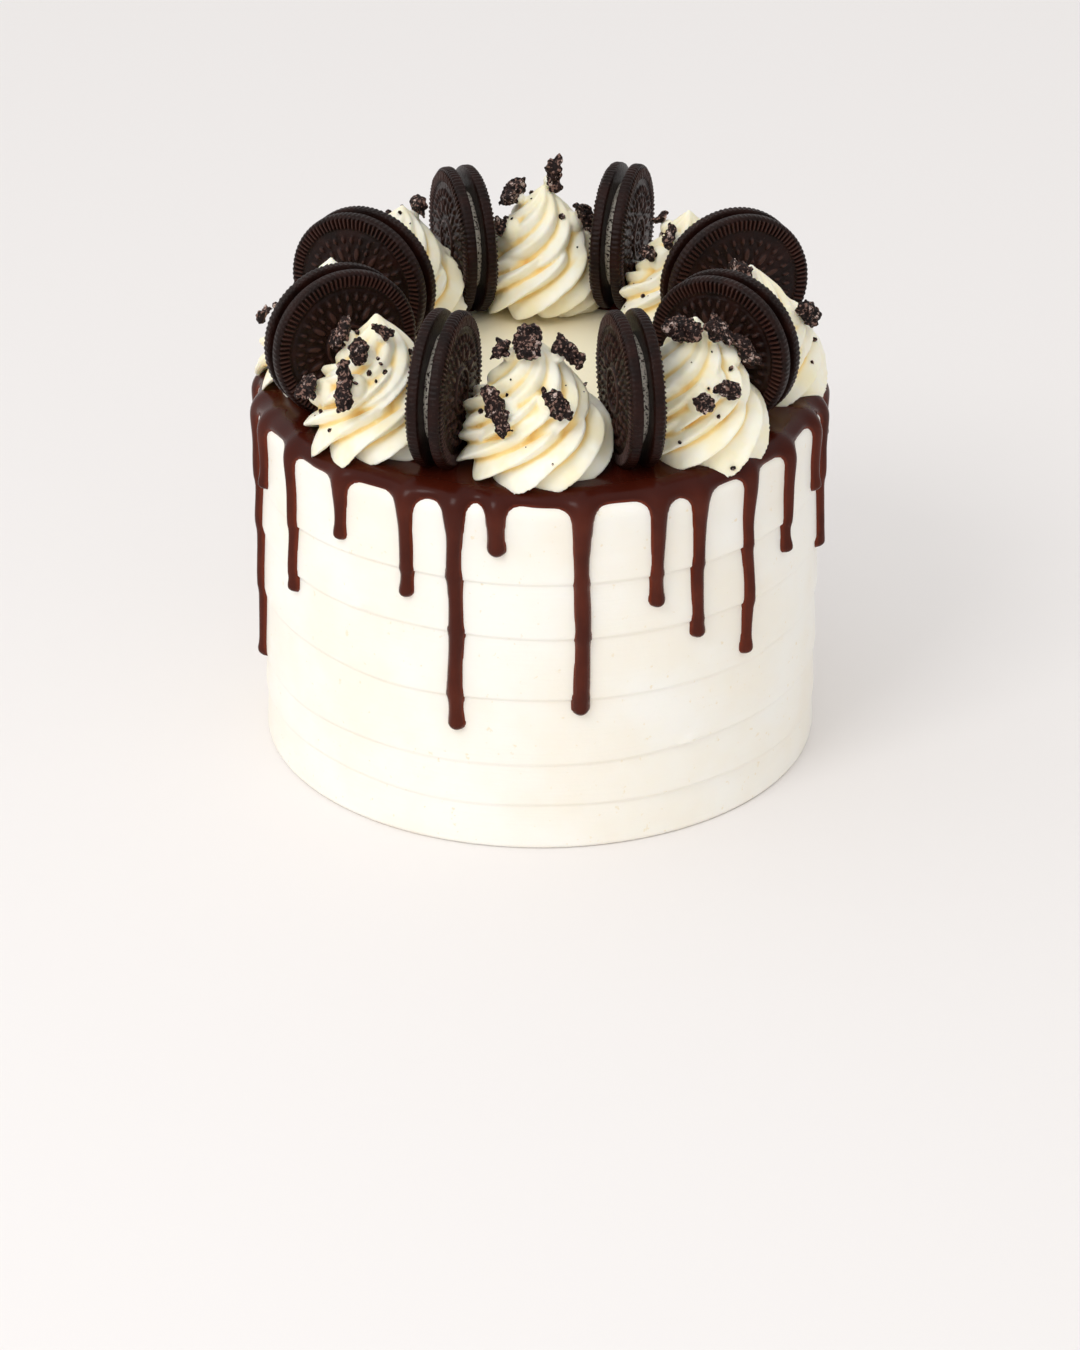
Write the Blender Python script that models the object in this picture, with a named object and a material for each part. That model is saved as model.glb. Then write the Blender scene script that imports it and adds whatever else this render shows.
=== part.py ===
# Layer cake with a poured chocolate drip, eight piped cream swirls and eight sandwich biscuits.
# Metres, +Z up. The origin is the centre of the flat base, and the front of the cake faces -Y.
# A bearing is an angle round the cake in degrees: 0 at the front, positive towards +X.

import math
import random

import bmesh
import bpy
from mathutils import Matrix, Vector
from mathutils.bvhtree import BVHTree

MM = 0.001
CLEARANCE = 0.3 * MM  # left between pieces that rest on or press into each other

# Cake covered in buttercream: a 6 inch sponge with its cream, combed in broad bands.
CAKE_RADIUS = 83.6 * MM
CAKE_HEIGHT = 112.5 * MM
RIM_ROUND = 6 * MM  # rounding of the top edge
BASE_ROUND = 1.2 * MM
SEAM_HEIGHTS = [86.2 * MM, 68.8 * MM, 48.8 * MM, 28 * MM, 14.3 * MM]
BAND_LIP = 0.6 * MM  # a band's lower edge stands out this far
SEAM_DEPTH = 0.6 * MM  # and the seam under it cuts in this far
SEAM_RISE = 1.3 * MM
CAKE_SEGMENTS = 48

# Chocolate poured round the top, with a drip at each bearing that ends at a height above the base.
SKIN_RADIUS = CAKE_RADIUS + BAND_LIP
POUR_INNER_RADIUS = 57 * MM
POUR_THICKNESS = 1.3 * MM
DRIP_THICKNESS = 2.5 * MM
THIN_EDGE = 1.1 * MM  # at the sides and tip of a drip, and along an arch
ARCH_HEIGHT = 109.8 * MM  # lowest edge of the pour between two drips
ARCH_SAG = 1.2 * MM  # how much that height varies round the cake
ROOT_FLARE = 1.3  # a drip's root is this much wider than the drip
DRIP_COLUMNS = (-1, -0.42, 0.42, 1)  # points across a drip, as shares of its half width
DRIP_ROWS = ((0.3, 0.92), (0.8, 0.95), (1.0, 1.0))  # share of the way down, share of the half width
TIP_ROUND = 0.9  # a tip's sides end this share of the half width higher than its middle
TOP_ROWS = 4  # rows of points from the pour's inner edge over the rim
WIDE_GAP = 7.5  # degrees between roots above which the arch has two points
DRIPS = [  # bearing in degrees, tip height in mm, half width in mm
    (-94, 95, 2.4), (-82, 26, 1.9), (-73, 88, 1.8), (-58.5, 64, 1.9), (-42.5, 90, 2.1), (-27, 78, 2.2),
    (-16.7, 38, 2.5), (-8.5, 95, 2.3), (8.2, 44, 2.5), (23.5, 76, 2.2), (32.6, 63, 2.2), (45.5, 52, 2.1),
    (58.5, 77, 2.0), (72.5, 88, 2.0), (80.5, 64, 2.0), (92, 92, 2.3), (100, 40, 2.1), (111, 82, 2.0),
    (122, 60, 2.2), (134, 92, 2.1), (145, 50, 2.3), (157, 74, 2.1), (168, 34, 2.4), (179, 86, 2.2),
    (-169, 58, 2.2), (-157, 94, 2.1), (-146, 44, 2.4), (-135, 78, 2.1), (-124, 62, 2.2), (-108, 84, 2.1),
]

# Sandwich biscuits standing on edge, pressed a little way into the top.
BISCUIT_RADIUS = 22.5 * MM
WAFER_THICKNESS = 3.7 * MM
WAFER_CHAMFER = 0.9 * MM
FILLING_THICKNESS = 2.9 * MM
FILLING_RADIUS = 16.6 * MM  # well short of the wafers' edge
BISCUIT_HEIGHT = 134.8 * MM  # centre of a biscuit above the base
WAFER_SEGMENTS = 24
FILLING_SEGMENTS = 20
BISCUITS = [  # bearing in degrees, distance from the axis in mm, bearing that the biscuit's edge faces
    (-25.5, 63.0, -15), (24.3, 62.4, 12.5), (63, 60.0, 58.5), (110, 61.8, 111),
    (156.5, 63.2, 165), (-157, 60.3, -163.5), (-112.5, 57.0, -117.5), (-69, 62.0, -62.5),
]

# Cream swirls piped with an eight point star nozzle, standing between the biscuits.
SWIRL_HEIGHT = 37 * MM
SWIRL_BASE = CAKE_HEIGHT + POUR_THICKNESS + 2 * CLEARANCE
SWIRL_OUTLINE = [  # share of the height, radius in mm
    (0, 19.2), (0.12, 20.6), (0.24, 20.6), (0.36, 19.6), (0.48, 17.6), (0.60, 14.8), (0.72, 11.2), (0.84, 7.0),
    (0.94, 3.0),
]
SWIRL_RIBS = 8
RIB_DEPTH = 0.09  # share of the radius
TIER_DEPTH = 0.04
SWIRL_TURNS = 2.3
RIB_TWIST = math.radians(215)  # how far a rib winds round from base to peak
SWIRLS = [  # bearing, distance from the axis in mm, turn about its own axis in degrees, size
    (-2, 58.5, 10, 1.02), (44, 62, 55, 1.0), (87, 62, 100, 1.0), (133, 61, 150, 0.98),
    (180, 58.5, 200, 1.02), (-135, 61, 240, 1.0), (-91, 62, 290, 0.98), (-47, 62, 330, 1.0),
]

# Broken biscuit on the swirls. Each piece: swirl, bearing round that swirl in degrees, share of its height
# (over 1 stands up past the peak), turn in the plane of the cream in degrees, length, width, thickness in mm.
CHUNKS = [
    (0, -30, 0.52, 38, 18, 6.5, 5), (0, 22, 0.58, 35, 13, 6, 5), (0, -85, 0.84, 80, 13.5, 6.5, 6),
    (0, -22, 0.94, 10, 13, 10, 6.5), (0, 82, 0.82, 10, 14, 9, 6),
    (1, -28, 0.90, 80, 15.5, 9, 6), (1, 72, 0.86, 30, 10.5, 9.5, 6), (1, 92, 0.66, 15, 13, 8.5, 5.5),
    (1, 9, 0.47, 30, 9, 6.5, 4.5), (1, 34, 0.54, 75, 13, 6, 4.5),
    (2, -45, 0.93, 80, 10, 6.5, 5), (2, 66, 0.59, 40, 12, 8.5, 5.5),
    (3, -113, 0.80, 30, 9, 8, 4.5), (3, -54, 0.65, 70, 8, 5.5, 4.5), (3, -34, 0.79, 20, 9, 6, 5),
    (4, 70, 1.10, 0, 15, 6.5, 6), (4, -85, 0.86, 40, 12.5, 9, 6.5), (4, -55, 0.66, 60, 8, 6, 5),
    (4, 72, 0.70, 30, 11, 10, 6),
    (5, 112, 0.89, 60, 12, 8, 6),
    (6, -96, 0.46, 80, 8, 6, 4.5),
    (7, -72, 0.42, 0, 11, 10.5, 4), (7, -29, 0.52, 15, 18, 7, 5), (7, -92, 0.80, 40, 13, 9, 5.5),
    (7, -30, 0.76, 20, 9, 7.5, 5.5), (7, 8, 0.90, 25, 7.5, 6.5, 5),
]
CHUNK_POINTS = 15
CHUNK_BLOCKINESS = 0.45  # 0 is an egg, 1 is a brick
CHUNK_SEED = 700
SLOPE_SPAN = 0.06  # share of a swirl's height over which the cream's slope is read
SETTLE_STEPS = 60

# Small crumbs that are part of a swirl's surface: this many on each, of this size.
CRUMBS_EACH = 2
CRUMB_SIZE = (1.5 * MM, 2.2 * MM)
CRUMB_HEIGHTS = (0.3, 0.7)  # lowest and highest share of the swirl's height
CRUMB_SEED = 40


def clear_scene():
    for old in list(bpy.data.objects):
        bpy.data.objects.remove(old, do_unlink=True)


def material(name, colour, roughness):
    made = bpy.data.materials.new(name)
    made.use_nodes = True
    shader = made.node_tree.nodes["Principled BSDF"]
    shader.inputs["Base Color"].default_value = (*colour, 1)
    shader.inputs["Roughness"].default_value = roughness
    shader.inputs["Metallic"].default_value = 0
    return made


def at_bearing(degrees, distance, height=0.0):
    angle = math.radians(degrees)
    return Vector((distance * math.sin(angle), -distance * math.cos(angle), height))


def add_object(name, shape, finish, parent=None, smooth=True):
    """The bmesh as a named object with one material, shaded smooth but for its sharp edges."""
    bmesh.ops.recalc_face_normals(shape, faces=shape.faces[:])
    mesh = bpy.data.meshes.new(name)
    shape.to_mesh(mesh)
    shape.free()
    if smooth:
        mesh.shade_smooth()
        mesh.set_sharp_from_angle(angle=math.radians(35))
    mesh.materials.append(finish)
    made = bpy.data.objects.new(name, mesh)
    bpy.context.scene.collection.objects.link(made)
    made.parent = parent
    return made


def turned(outline, segments):
    """A solid of revolution about Z. The outline runs from bottom to top as (radius, height), off the axis."""
    shape = bmesh.new()
    rings = []
    for radius, height in outline:
        rings.append([
            shape.verts.new(at_bearing(360 * step / segments, radius, height)) for step in range(segments)
        ])
    for below, above in zip(rings, rings[1:]):
        for step in range(segments):
            after = (step + 1) % segments
            shape.faces.new((below[step], below[after], above[after], above[step]))
    shape.faces.new(rings[0])
    shape.faces.new(rings[-1])
    return shape


def skin_point(path, lift):
    """(radius, height) on the cake's skin, lifted off it. The path runs outwards over the top, round the rim
    and down the side, and is 0 where the rounding of the rim starts."""
    rim_length = RIM_ROUND * math.pi / 2
    centre_radius = SKIN_RADIUS - RIM_ROUND
    centre_height = CAKE_HEIGHT - RIM_ROUND
    if path <= 0:
        return centre_radius + path, CAKE_HEIGHT + lift
    if path >= rim_length:
        return SKIN_RADIUS + lift, centre_height - (path - rim_length)
    angle = math.pi / 2 - path / RIM_ROUND
    reach = RIM_ROUND + lift
    return centre_radius + reach * math.cos(angle), centre_height + reach * math.sin(angle)


def path_at(height):
    """The skin's path down to a height on its rim or side."""
    above = height - (CAKE_HEIGHT - RIM_ROUND)
    if above > 0:
        return RIM_ROUND * math.acos(above / RIM_ROUND)
    return RIM_ROUND * math.pi / 2 - above


def cake_outline():
    outline = [(CAKE_RADIUS - BASE_ROUND, 0), (CAKE_RADIUS, BASE_ROUND)]
    for seam in reversed(SEAM_HEIGHTS):
        outline.append((CAKE_RADIUS - SEAM_DEPTH, seam - SEAM_RISE))
        outline.append((SKIN_RADIUS, seam))
    rim_length = RIM_ROUND * math.pi / 2
    for share in (1, 0.5, 0):
        outline.append(skin_point(rim_length * share, 0))
    return outline


def add_cake(finish):
    return add_object("buttercream_cake", turned(cake_outline(), CAKE_SEGMENTS), finish)


def pour_columns():
    """Every column of the chocolate round the cake, in order, as (bearing, low edge, drip or None, offset).
    Four columns run down each drip at offsets from its middle, and one or two shape the arch to the next."""
    columns = []
    ordered = sorted(DRIPS)
    half_angles = [math.degrees(half_width * MM / SKIN_RADIUS) for _, _, half_width in ordered]
    for place, drip in enumerate(ordered):
        bearing = drip[0]
        root = ROOT_FLARE * half_angles[place]
        for offset in DRIP_COLUMNS:
            columns.append((bearing + offset * root, CAKE_HEIGHT - RIM_ROUND, drip, offset))
        after = (place + 1) % len(ordered)
        start = bearing + root
        end = ordered[after][0] + (360 if after == 0 else 0) - ROOT_FLARE * half_angles[after]
        shares = (0.27, 0.73) if end - start > WIDE_GAP else (0.5,)
        low = ARCH_HEIGHT + ARCH_SAG * math.sin(2.4 * place)
        for share in shares:
            columns.append((start + (end - start) * share, low, None, 0))
    return columns


def drip_rows(drip, offset):
    """(bearing, height, thickness) down one column of a drip, below its root."""
    bearing, tip, half_width = drip
    half_angle = math.degrees(half_width * MM / SKIN_RADIUS)
    middle = abs(offset) < 1
    root_height = CAKE_HEIGHT - RIM_ROUND
    tip_height = tip * MM + (0 if middle else TIP_ROUND * half_width * MM)
    rows = []
    for share, width in DRIP_ROWS:
        height = root_height + (tip_height - root_height) * share
        thick = middle and share < 1
        rows.append((bearing + offset * width * half_angle, height, DRIP_THICKNESS if thick else THIN_EDGE))
    return rows


def add_pour(finish):
    """The chocolate as one thick skin: the same sheet of faces twice, inner and outer, walled at its borders."""
    shape = bmesh.new()
    rim_length = RIM_ROUND * math.pi / 2
    inner_path = POUR_INNER_RADIUS - (SKIN_RADIUS - RIM_ROUND)

    def pair(bearing, path, thickness):
        points = []
        for lift in (CLEARANCE, CLEARANCE + thickness):
            radius, height = skin_point(path, lift)
            points.append(shape.verts.new(at_bearing(bearing, radius, height)))
        return points

    grid = []
    for bearing, low, drip, offset in pour_columns():
        low_path = path_at(low)
        bend = 0.5 * rim_length if drip else 0.55 * low_path
        column = [pair(bearing, path, POUR_THICKNESS) for path in (inner_path, 0, bend)]
        column.append(pair(bearing, low_path, DRIP_THICKNESS if drip and abs(offset) < 1 else THIN_EDGE))
        if drip:
            column += [pair(b, path_at(h), thickness) for b, h, thickness in drip_rows(drip, offset)]
        grid.append((column, drip))
    panels = []
    for place, (column, drip) in enumerate(grid):
        beside, beside_drip = grid[(place + 1) % len(grid)]
        same_drip = drip is not None and drip is beside_drip
        rows = len(column) if same_drip else TOP_ROWS
        for upper in range(rows - 1):
            lower = upper + 1
            if drip or not beside_drip:
                panels.append((column[upper], beside[upper], beside[lower]))
                panels.append((column[upper], beside[lower], column[lower]))
            else:
                panels.append((column[upper], beside[upper], column[lower]))
                panels.append((beside[upper], beside[lower], column[lower]))
    borders = {}
    for panel in panels:
        shape.faces.new([corner[1] for corner in panel])
        shape.faces.new([corner[0] for corner in reversed(panel)])
        for one, other in zip(panel, panel[1:] + panel[:1]):
            key = frozenset((one[1], other[1]))
            borders[key] = None if key in borders else (one, other)
    for border in borders.values():
        if border:
            one, other = border
            shape.faces.new((one[1], one[0], other[0], other[1]))
    return add_object("chocolate_pour", shape, finish)


def biscuit_stand(number, bearing, distance, facing):
    """An empty at a biscuit's centre whose Z axis is the biscuit's own axis."""
    stand = bpy.data.objects.new(f"biscuit_{number}", None)
    stand.location = at_bearing(bearing, distance * MM, BISCUIT_HEIGHT)
    stand.rotation_euler = (0, math.radians(90), math.radians(facing))
    bpy.context.scene.collection.objects.link(stand)
    return stand


def wafer(outer_side):
    """A thick crisp disc with a broken outer edge. outer_side is 1 or -1 along the biscuit's axis."""
    near = outer_side * FILLING_THICKNESS / 2
    far = near + outer_side * WAFER_THICKNESS
    outline = [
        (BISCUIT_RADIUS, near),
        (BISCUIT_RADIUS, far - outer_side * WAFER_CHAMFER),
        (BISCUIT_RADIUS - WAFER_CHAMFER, far),
    ]
    return turned(outline if outer_side > 0 else outline[::-1], WAFER_SEGMENTS)


def disc(radius, thickness, segments):
    return turned([(radius, -thickness / 2), (radius, thickness / 2)], segments)


def add_biscuits(wafer_finish, filling_finish):
    """Eight biscuits of two wafers and a filling each. Returns the slots that they press into the cake."""
    slots = bpy.data.collections.new("slots")
    bpy.context.scene.collection.children.link(slots)
    thickness = FILLING_THICKNESS + 2 * WAFER_THICKNESS
    for number, (bearing, distance, facing) in enumerate(BISCUITS, 1):
        stand = biscuit_stand(number, bearing, distance, facing)
        add_object(f"wafer_right_{number}", wafer(1), wafer_finish, stand)
        add_object(f"wafer_left_{number}", wafer(-1), wafer_finish, stand)
        filling = disc(FILLING_RADIUS, FILLING_THICKNESS - 2 * CLEARANCE, FILLING_SEGMENTS)
        add_object(f"filling_{number}", filling, filling_finish, stand)
        slot_shape = disc(BISCUIT_RADIUS + CLEARANCE, thickness + 2 * CLEARANCE, WAFER_SEGMENTS)
        slot = add_object(f"slot_{number}", slot_shape, filling_finish, stand)
        slot.hide_render = True
        slot.display_type = "WIRE"
        bpy.context.scene.collection.objects.unlink(slot)
        slots.objects.link(slot)
    bpy.context.view_layer.update()
    return slots


def boolean(target, operation, collection, applied=False):
    """A Boolean of the target with a whole collection."""
    modifier = target.modifiers.new(operation.lower(), "BOOLEAN")
    modifier.operand_type = "COLLECTION"
    modifier.collection = collection
    modifier.operation = operation
    modifier.solver = "EXACT"
    if applied:
        graph = bpy.context.evaluated_depsgraph_get()
        result = bpy.data.meshes.new_from_object(target.evaluated_get(graph))
        target.modifiers.clear()
        target.data = result


def drop_scraps(target):
    """Keeps only the largest connected body of the target's mesh."""
    shape = bmesh.new()
    shape.from_mesh(target.data)
    left = set(shape.verts)
    bodies = []
    while left:
        body = [left.pop()]
        for vertex in body:
            beside = {edge.other_vert(vertex) for edge in vertex.link_edges} & left
            left -= beside
            body.extend(beside)
        bodies.append(body)
    bodies.sort(key=len)
    for scrap in bodies[:-1]:
        bmesh.ops.delete(shape, geom=scrap, context="VERTS")
    shape.to_mesh(target.data)
    shape.free()


def outline_radius(share):
    """The swirl's mean radius at a share of its height, between the points of its outline."""
    points = SWIRL_OUTLINE + [(1, 0)]
    for (low, low_radius), (high, high_radius) in zip(points, points[1:]):
        if share <= high:
            return MM * (low_radius + (high_radius - low_radius) * (share - low) / (high - low))
    return 0.0


def swirl_point(turn, size, share, rib_step):
    """A point on a swirl about its own axis. rib_step counts half ribs: even on a crest, odd in a groove."""
    angle = turn + RIB_TWIST * share + math.pi * rib_step / SWIRL_RIBS
    crest = RIB_DEPTH if rib_step % 2 == 0 else -RIB_DEPTH
    tier = TIER_DEPTH * math.cos(2 * math.pi * (SWIRL_TURNS * share) - angle)
    radius = outline_radius(share) * size * (1 + crest + tier)
    return Vector((radius * math.sin(angle), -radius * math.cos(angle), SWIRL_HEIGHT * size * share))


def swirl_shape(turn, size):
    shape = bmesh.new()
    steps = 2 * SWIRL_RIBS
    rings = [
        [shape.verts.new(swirl_point(turn, size, share, step)) for step in range(steps)]
        for share, _ in SWIRL_OUTLINE
    ]
    for below, above in zip(rings, rings[1:]):
        for step in range(steps):
            after = (step + 1) % steps
            shape.faces.new((below[step], below[after], above[step]))
            shape.faces.new((below[after], above[after], above[step]))
    peak = shape.verts.new((0, 0, SWIRL_HEIGHT * size))
    for step in range(steps):
        shape.faces.new((rings[-1][step], rings[-1][(step + 1) % steps], peak))
    shape.faces.new(rings[0])
    return shape


def swirl_centre(number):
    bearing, distance = SWIRLS[number][:2]
    return at_bearing(bearing, distance * MM, SWIRL_BASE)


def crumb_collection(number, turn, size):
    """Small crumbs half sunk in the ribs of one swirl."""
    random.seed(CRUMB_SEED + number)
    found = bpy.data.collections.new(f"crumbs_{number}")
    bpy.context.scene.collection.children.link(found)
    for count in range(CRUMBS_EACH):
        shape = bmesh.new()
        radius = random.uniform(*CRUMB_SIZE)
        bmesh.ops.create_icosphere(shape, subdivisions=1, radius=radius)
        share = random.uniform(*CRUMB_HEIGHTS)
        rib_step = 2 * random.randrange(SWIRL_RIBS)
        place = swirl_centre(number) + swirl_point(turn, size, share, rib_step)
        bmesh.ops.translate(shape, vec=place, verts=shape.verts)
        crumb = add_object(f"crumb_{number}_{count}", shape, bpy.data.materials["cream"])
        bpy.context.scene.collection.objects.unlink(crumb)
        found.objects.link(crumb)
    return found


def add_swirls(finish, slots):
    for number, (_, _, turn_degrees, size) in enumerate(SWIRLS):
        turn = math.radians(turn_degrees)
        shape = swirl_shape(turn, size)
        bmesh.ops.translate(shape, vec=swirl_centre(number), verts=shape.verts)
        swirl = add_object(f"swirl_{number + 1}", shape, finish)
        crumbs = crumb_collection(number, turn, size)
        boolean(swirl, "UNION", crumbs, applied=True)
        for crumb in list(crumbs.objects):
            bpy.data.objects.remove(crumb, do_unlink=True)
        bpy.data.collections.remove(crumbs)
        boolean(swirl, "DIFFERENCE", slots, applied=True)
        drop_scraps(swirl)


def world_tree(shown):
    graph = bpy.context.evaluated_depsgraph_get()
    evaluated = shown.evaluated_get(graph)
    mesh = evaluated.to_mesh()
    points = [evaluated.matrix_world @ vertex.co for vertex in mesh.vertices]
    faces = [list(polygon.vertices) for polygon in mesh.polygons]
    evaluated.to_mesh_clear()
    return BVHTree.FromPolygons(points, faces, epsilon=CLEARANCE / 2)


def chunk_shape(width, length, thickness):
    """A jagged piece of broken wafer: the hull of points scattered over a block with blunt corners."""
    shape = bmesh.new()
    for _ in range(CHUNK_POINTS):
        direction = Vector([random.gauss(0, 1) for _ in range(3)]).normalized()
        on_block = direction / max(abs(part) for part in direction)
        blunt = direction.lerp(on_block, CHUNK_BLOCKINESS) * random.uniform(0.88, 1.0)
        shape.verts.new((blunt.x * width / 2, blunt.y * length / 2, blunt.z * thickness / 2))
    bmesh.ops.convex_hull(shape, input=shape.verts[:])
    loose = [vertex for vertex in shape.verts if not vertex.link_faces]
    bmesh.ops.delete(shape, geom=loose, context="VERTS")
    return shape


def cream_slope(share):
    """How steeply the cream's outline turns upwards there: radius lost for each unit of height."""
    low = max(share - SLOPE_SPAN / 2, 0)
    high = min(share + SLOPE_SPAN / 2, 1)
    return (outline_radius(low) - outline_radius(high)) / ((high - low) * SWIRL_HEIGHT)


def chunk_frame(bearing, share, spin):
    """Axes for a chunk that lies on the cream: across, up the slope and outwards."""
    outwards = at_bearing(bearing, 1.0, cream_slope(share)).normalized()
    across = at_bearing(bearing + 90, 1.0)
    upwards = outwards.cross(across)
    return Matrix((across, upwards, outwards)).transposed() @ Matrix.Rotation(math.radians(spin), 3, "Z")


def settle(piece, outwards, solid):
    """Moves the piece outwards in small steps until it is clear of every solid round it."""
    for _ in range(SETTLE_STEPS):
        tree = world_tree(piece)
        if not any(tree.overlap(other) for other in solid):
            break
        piece.data.transform(Matrix.Translation(outwards * CLEARANCE))
    piece.data.transform(Matrix.Translation(outwards * CLEARANCE / 2))


def add_chunks(finish):
    solid = [
        world_tree(shown) for shown in bpy.context.scene.objects if shown.type == "MESH" and not shown.hide_render
    ]
    counts = [0] * len(SWIRLS)
    for seed, (on, bearing, share, spin, length, width, thickness) in enumerate(CHUNKS):
        random.seed(CHUNK_SEED + seed)
        counts[on] += 1
        size = SWIRLS[on][3]
        axes = chunk_frame(bearing, share, spin)
        surface = at_bearing(bearing, outline_radius(share) * size, SWIRL_HEIGHT * size * share)
        place = Matrix.Translation(swirl_centre(on) + surface) @ axes.to_4x4()
        shape = chunk_shape(width * MM, length * MM, thickness * MM)
        bmesh.ops.transform(shape, matrix=place, verts=shape.verts)
        chunk = add_object(f"chunk_{on + 1}_{counts[on]}", shape, finish, smooth=False)
        settle(chunk, axes @ Vector((0, 0, 1)), solid)
        solid.append(world_tree(chunk))


def main():
    clear_scene()
    cream = material("cream", (0.86, 0.76, 0.55), 0.55)
    cake_cream = material("buttercream", (0.88, 0.83, 0.72), 0.5)
    chocolate = material("chocolate", (0.07, 0.022, 0.014), 0.3)
    dark_wafer = material("cocoa_wafer", (0.022, 0.012, 0.008), 0.75)
    filling = material("filling", (0.8, 0.78, 0.72), 0.7)
    slots = add_biscuits(dark_wafer, filling)
    boolean(add_cake(cake_cream), "DIFFERENCE", slots)
    boolean(add_pour(chocolate), "DIFFERENCE", slots)
    add_swirls(cream, slots)
    add_chunks(dark_wafer)


main()
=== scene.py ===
import math
import random

import bpy
import numpy as np
from mathutils import Euler, Matrix, Vector, noise
from mathutils.bvhtree import BVHTree


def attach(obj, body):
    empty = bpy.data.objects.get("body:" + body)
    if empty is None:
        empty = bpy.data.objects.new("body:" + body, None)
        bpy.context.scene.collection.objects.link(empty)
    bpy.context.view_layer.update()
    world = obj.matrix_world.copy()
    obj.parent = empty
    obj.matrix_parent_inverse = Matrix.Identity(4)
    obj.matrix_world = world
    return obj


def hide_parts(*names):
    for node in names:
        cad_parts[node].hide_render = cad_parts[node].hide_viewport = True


# Drip cake with piped cream, sandwich biscuits and broken biscuit on top. The front is -Y.
# Lengths are worked out in millimetres, and become metres where a mesh gets its points.
# A bearing goes round the cake from 0 at the front towards +X.
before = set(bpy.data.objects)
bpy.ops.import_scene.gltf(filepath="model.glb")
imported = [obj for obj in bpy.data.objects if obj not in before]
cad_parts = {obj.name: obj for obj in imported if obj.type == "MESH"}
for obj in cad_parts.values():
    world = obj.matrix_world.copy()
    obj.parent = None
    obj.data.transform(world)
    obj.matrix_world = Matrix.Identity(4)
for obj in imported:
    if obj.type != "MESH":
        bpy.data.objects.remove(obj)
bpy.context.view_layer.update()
mm = 0.001


def clearSelection():
    if bpy.context.object and bpy.context.object.mode != "OBJECT":
        bpy.ops.object.mode_set(mode="OBJECT")
    bpy.ops.object.select_all(action="DESELECT")


def pick(piece):
    clearSelection()
    piece.select_set(True)
    bpy.context.view_layer.objects.active = piece


def readPoints(piece):
    points = np.empty(len(piece.data.vertices) * 3, np.float32)
    piece.data.vertices.foreach_get("co", points)
    return points.reshape(-1, 3).astype(float) / mm


def movePoints(piece, points):
    piece.data.vertices.foreach_set("co", (np.asarray(points) * mm).astype(np.float32).ravel())
    piece.data.update()


def sealMesh(piece, gap=0.002):
    # merges seams and poles, drops what hangs loose and turns every face outwards
    pick(piece)
    bpy.ops.object.mode_set(mode="EDIT")
    bpy.ops.mesh.select_all(action="SELECT")
    bpy.ops.mesh.remove_doubles(threshold=gap * mm)
    bpy.ops.mesh.delete_loose(use_verts=True, use_edges=True, use_faces=False)
    bpy.ops.mesh.select_all(action="SELECT")
    bpy.ops.mesh.normals_make_consistent(inside=False)
    bpy.ops.object.mode_set(mode="OBJECT")


def sheetOf(name, points):
    # a grid of faces whose points, given as rows of columns, are laid where the shape has them
    rows, columns = points.shape[:2]
    clearSelection()
    bpy.ops.mesh.primitive_grid_add(x_subdivisions=columns - 1, y_subdivisions=rows - 1, size=2)
    piece = bpy.context.object
    piece.name = name
    piece.data.name = name
    movePoints(piece, points.reshape(-1, 3))
    return piece


def spinLoop(name, outline, steps):
    # turns a closed outline of (radius, height) points once round Z
    clearSelection()
    bpy.ops.mesh.primitive_circle_add(vertices=len(outline), fill_type="NOTHING")
    piece = bpy.context.object
    piece.name = name
    piece.data.name = name
    movePoints(piece, [(radius, 0, height) for radius, height in outline])
    bpy.ops.object.mode_set(mode="EDIT")
    bpy.ops.mesh.select_all(action="SELECT")
    bpy.ops.mesh.spin(steps=steps, angle=2 * math.pi, center=(0, 0, 0), axis=(0, 0, 1))
    bpy.ops.object.mode_set(mode="OBJECT")
    sealMesh(piece, 0.0005)
    return piece


def applyModifier(piece, kind, **settings):
    pick(piece)
    modifier = piece.modifiers.new(kind.lower(), kind)
    for name, value in settings.items():
        setattr(modifier, name, value)
    bpy.ops.object.modifier_apply(modifier=modifier.name)


def grain(name, kind, size, **settings):
    # a texture for the Displace modifier, with features of this many mm
    texture = bpy.data.textures.new(name, kind)
    texture.noise_scale = size * mm
    for key, value in settings.items():
        setattr(texture, key, value)
    return texture


def roughen(piece, texture, height, middle=0.5):
    applyModifier(
        piece, "DISPLACE", texture=texture, strength=height * mm, mid_level=middle, texture_coords="LOCAL"
    )


def onBearing(bearing, distance, height):
    # bearing in radians; takes numbers or arrays
    along = np.broadcast_arrays(distance * np.sin(bearing), -distance * np.cos(bearing), height)
    return np.stack(along, -1)


def ripple(bearing, seed, lowest=2, highest=9):
    # a smooth wobble round the cake, between about -1 and 1, that closes after a full turn
    dice = random.Random(seed)
    total = 0.0
    for count in range(lowest, highest + 1):
        height = dice.uniform(0.3, 1) / math.sqrt(count)
        total = total + height * np.sin(count * bearing + dice.uniform(0, 6.28))
    return total * 0.6


def lumps(points, size, seed=0):
    # a smooth random value from -1 to 1 at each point, with features about this many mm across
    shift = Vector((seed * 7.3, seed * 3.1, seed * 5.7))
    return np.array([noise.noise(Vector(point) / size + shift) for point in points])


def ease(value, low, high):
    share = np.clip((value - low) / (high - low), 0, 1)
    return share * share * (3 - 2 * share)


def setAttribute(piece, name, values):
    attribute = piece.data.attributes.new(name, "FLOAT", "POINT")
    attribute.data.foreach_set("value", np.asarray(values, np.float32))


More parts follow.
